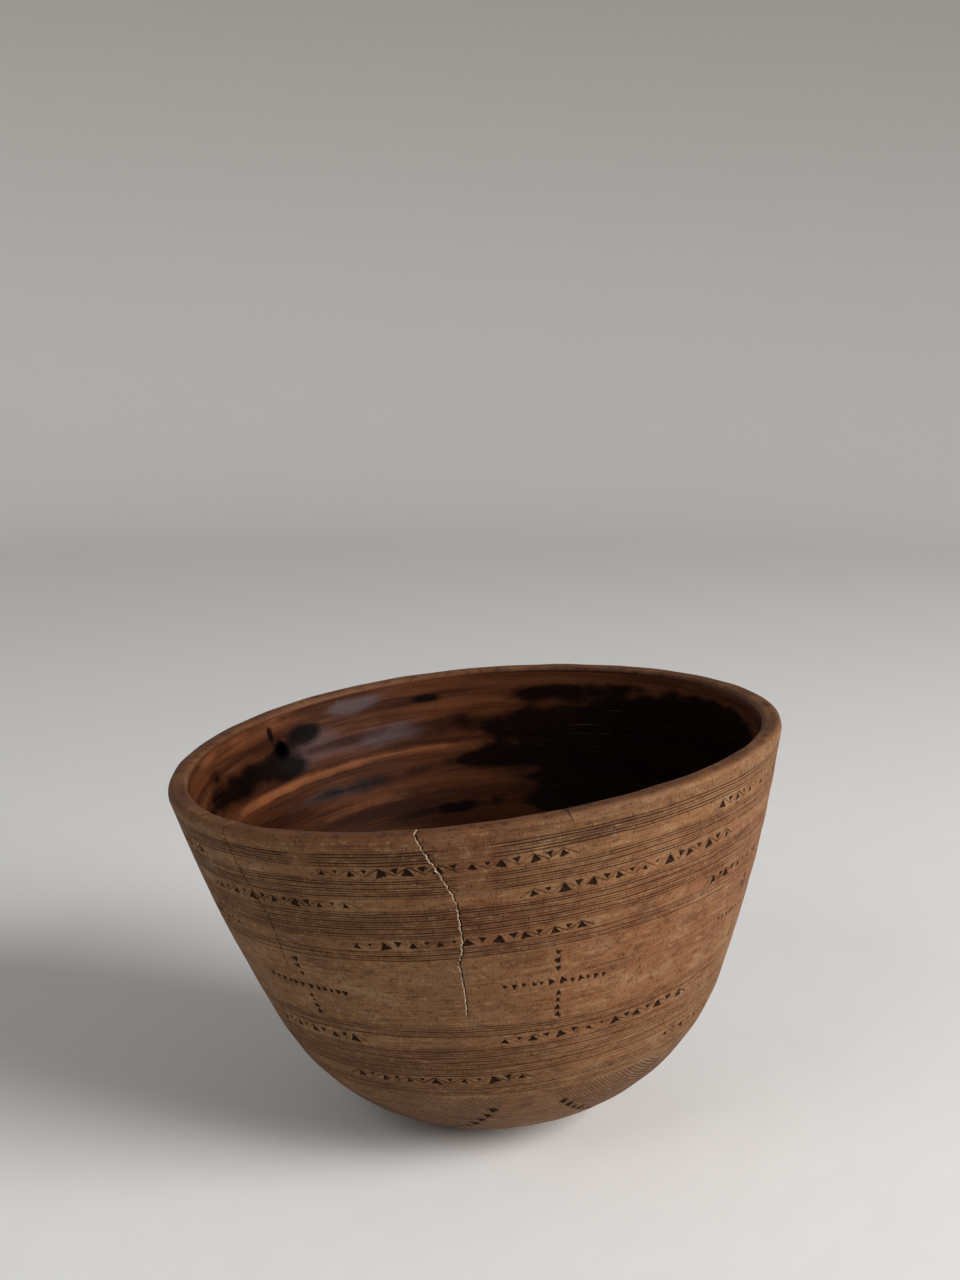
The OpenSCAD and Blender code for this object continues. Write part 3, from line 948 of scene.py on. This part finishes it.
plaster_links.new(plaster_place.outputs["Object"], plaster_split.inputs["Vector"])
plaster_climb = plaster_nodes.new("ShaderNodeMapRange")
plaster_climb.inputs["From Min"].default_value = 0.0
plaster_climb.inputs["From Max"].default_value = SHADE_PAINTED_TO
plaster_links.new(plaster_split.outputs["Z"], plaster_climb.inputs["Value"])
# painted shade: pale at the floor, darker up the sweep
plaster_painted_shade = plaster_nodes.new("ShaderNodeValToRGB")
plaster_painted_shade.color_ramp.elements[0].color = (0.86, 0.86, 0.86, 1)
plaster_painted_shade.color_ramp.elements[1].color = (0.44, 0.41, 0.38, 1)
plaster_links.new(plaster_climb.outputs["Result"], plaster_painted_shade.inputs["Fac"])
plaster_links.new(plaster_painted_shade.outputs["Color"], plaster_surface.inputs["Base Color"])
plaster_noise = plaster_nodes.new("ShaderNodeTexNoise")
plaster_noise.inputs["Scale"].default_value = 28.0
plaster_noise.inputs["Detail"].default_value = 6.0
plaster_links.new(plaster_place.outputs["Object"], plaster_noise.inputs["Vector"])
plaster_bump = plaster_nodes.new("ShaderNodeBump")
plaster_bump.inputs["Strength"].default_value = 0.25
plaster_bump.inputs["Distance"].default_value = 0.002
plaster_links.new(plaster_noise.outputs["Fac"], plaster_bump.inputs["Height"])
plaster_links.new(plaster_bump.outputs["Normal"], plaster_surface.inputs["Normal"])
floor.data.materials.append(plaster)


def soft_light(name, place_at, look_at, wide, tall, power, colour):
    """A rectangular light at a place, turned to face a point."""
    data = bpy.data.lights.new(name, "AREA")
    data.shape = "RECTANGLE"
    data.size, data.size_y = wide, tall
    data.energy = power
    data.color = colour
    data.spread = LIGHT_SPREAD
    light = bpy.data.objects.new(name, data)
    toward = Vector(look_at) - Vector(place_at)
    light.matrix_world = Matrix.Translation(place_at) @ toward.to_track_quat("-Z", "Y").to_matrix().to_4x4()
    bpy.context.collection.objects.link(light)


soft_light("window", (2.60, -1.33, 1.50), (0, 0, 0.1), 2.0, 1.8, 83.0, (1.0, 0.985, 0.965))
soft_light("front_fill", (-1.9, -2.1, 2.1), (0, 0, 0.1), 2.0, 1.5, 10.0, (1.0, 1.0, 1.0))

world = bpy.data.worlds.new("surround")
world.use_nodes = True
world.node_tree.nodes["Background"].inputs["Color"].default_value = (0.80, 0.79, 0.77, 1)
world.node_tree.nodes["Background"].inputs["Strength"].default_value = 0.24
bpy.context.scene.world = world
bpy.context.scene.view_settings.view_transform = "Standard"
